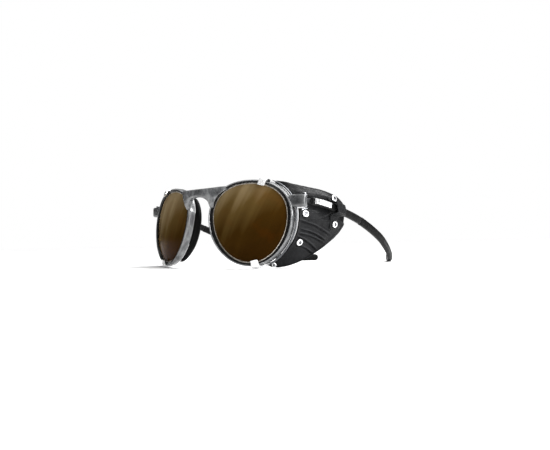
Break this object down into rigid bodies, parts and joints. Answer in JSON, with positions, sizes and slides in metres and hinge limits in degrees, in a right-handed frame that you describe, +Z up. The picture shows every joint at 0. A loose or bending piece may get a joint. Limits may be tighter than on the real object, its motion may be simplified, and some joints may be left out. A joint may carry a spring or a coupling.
{
  "type": "glacier glasses",
  "caption": "Glacier glasses with a keyhole bridge, mirrored brown lenses, riveted leather-grained side shields and folding temples with curved rubber tips.",
  "frame": {"origin": "on the ground, under the middle of the box round the open glasses", "axes": "+Z up, -Y the way the lenses face, +X the wearer's left"},
  "size_m": [0.1504, 0.153, 0.0514],
  "materials": {
    "frame_plastic": "glossy dark charcoal, faintly marbled",
    "lens_brown": "brown mirrored glass, darker towards the bottom",
    "soft_rubber": "matte black rubber",
    "bright_steel": "bright polished",
    "wire_steel": "gunmetal wire",
    "hinge_steel": "satin hinge steel",
    "shield_leather": "black moulded leather, fine grain",
    "arm_plastic": "satin black"
  },
  "bodies": {
    "front": {"front_frame": "frame_plastic", "left_lens": "lens_brown", "right_lens": "lens_brown", "left_nose_pad": "soft_rubber", "right_nose_pad": "soft_rubber", "left_top_clip": "bright_steel", "right_top_clip": "bright_steel", "left_bottom_clip": "bright_steel", "right_bottom_clip": "bright_steel", "left_shield_wire": "wire_steel", "right_shield_wire": "wire_steel", "left_side_shield": "shield_leather", "right_side_shield": "shield_leather", "left_shield_bracket": "bright_steel", "right_shield_bracket": "bright_steel", "left_shield_upper_rivet": "bright_steel", "right_shield_upper_rivet": "bright_steel", "left_shield_lower_rivet": "bright_steel", "right_shield_lower_rivet": "bright_steel", "left_shield_bottom_stud": "bright_steel", "right_shield_bottom_stud": "bright_steel", "left_hinge_front_leaf": "hinge_steel", "right_hinge_front_leaf": "hinge_steel"},
    "left_temple": {"left_hinge_temple_leaf": "hinge_steel", "left_hinge_screw": "hinge_steel", "left_temple_arm": "arm_plastic", "left_temple_core": "wire_steel", "left_temple_tip": "soft_rubber", "left_temple_ferrule": "bright_steel", "left_temple_badge": "bright_steel", "left_shield_strap": "shield_leather", "left_loop_upper_rivet": "bright_steel", "left_loop_lower_rivet": "bright_steel"},
    "right_temple": {"right_hinge_temple_leaf": "hinge_steel", "right_hinge_screw": "hinge_steel", "right_temple_arm": "arm_plastic", "right_temple_core": "wire_steel", "right_temple_tip": "soft_rubber", "right_temple_ferrule": "bright_steel", "right_temple_badge": "bright_steel", "right_shield_strap": "shield_leather", "right_loop_upper_rivet": "bright_steel", "right_loop_lower_rivet": "bright_steel"}
  },
  "joints": [
    {"name": "left_fold", "type": "hinge", "parent": "front", "child": "left_temple", "pos_m": [0.0672, -0.05427, 0.0372], "axis": [0, 0, 1], "range_deg": [0, 72], "deforming": ["left_side_shield"]},
    {"name": "right_fold", "type": "hinge", "parent": "front", "child": "right_temple", "pos_m": [-0.0672, -0.05427, 0.0372], "axis": [0, 0, -1], "range_deg": [0, 60], "deforming": ["right_side_shield"]}
  ]
}
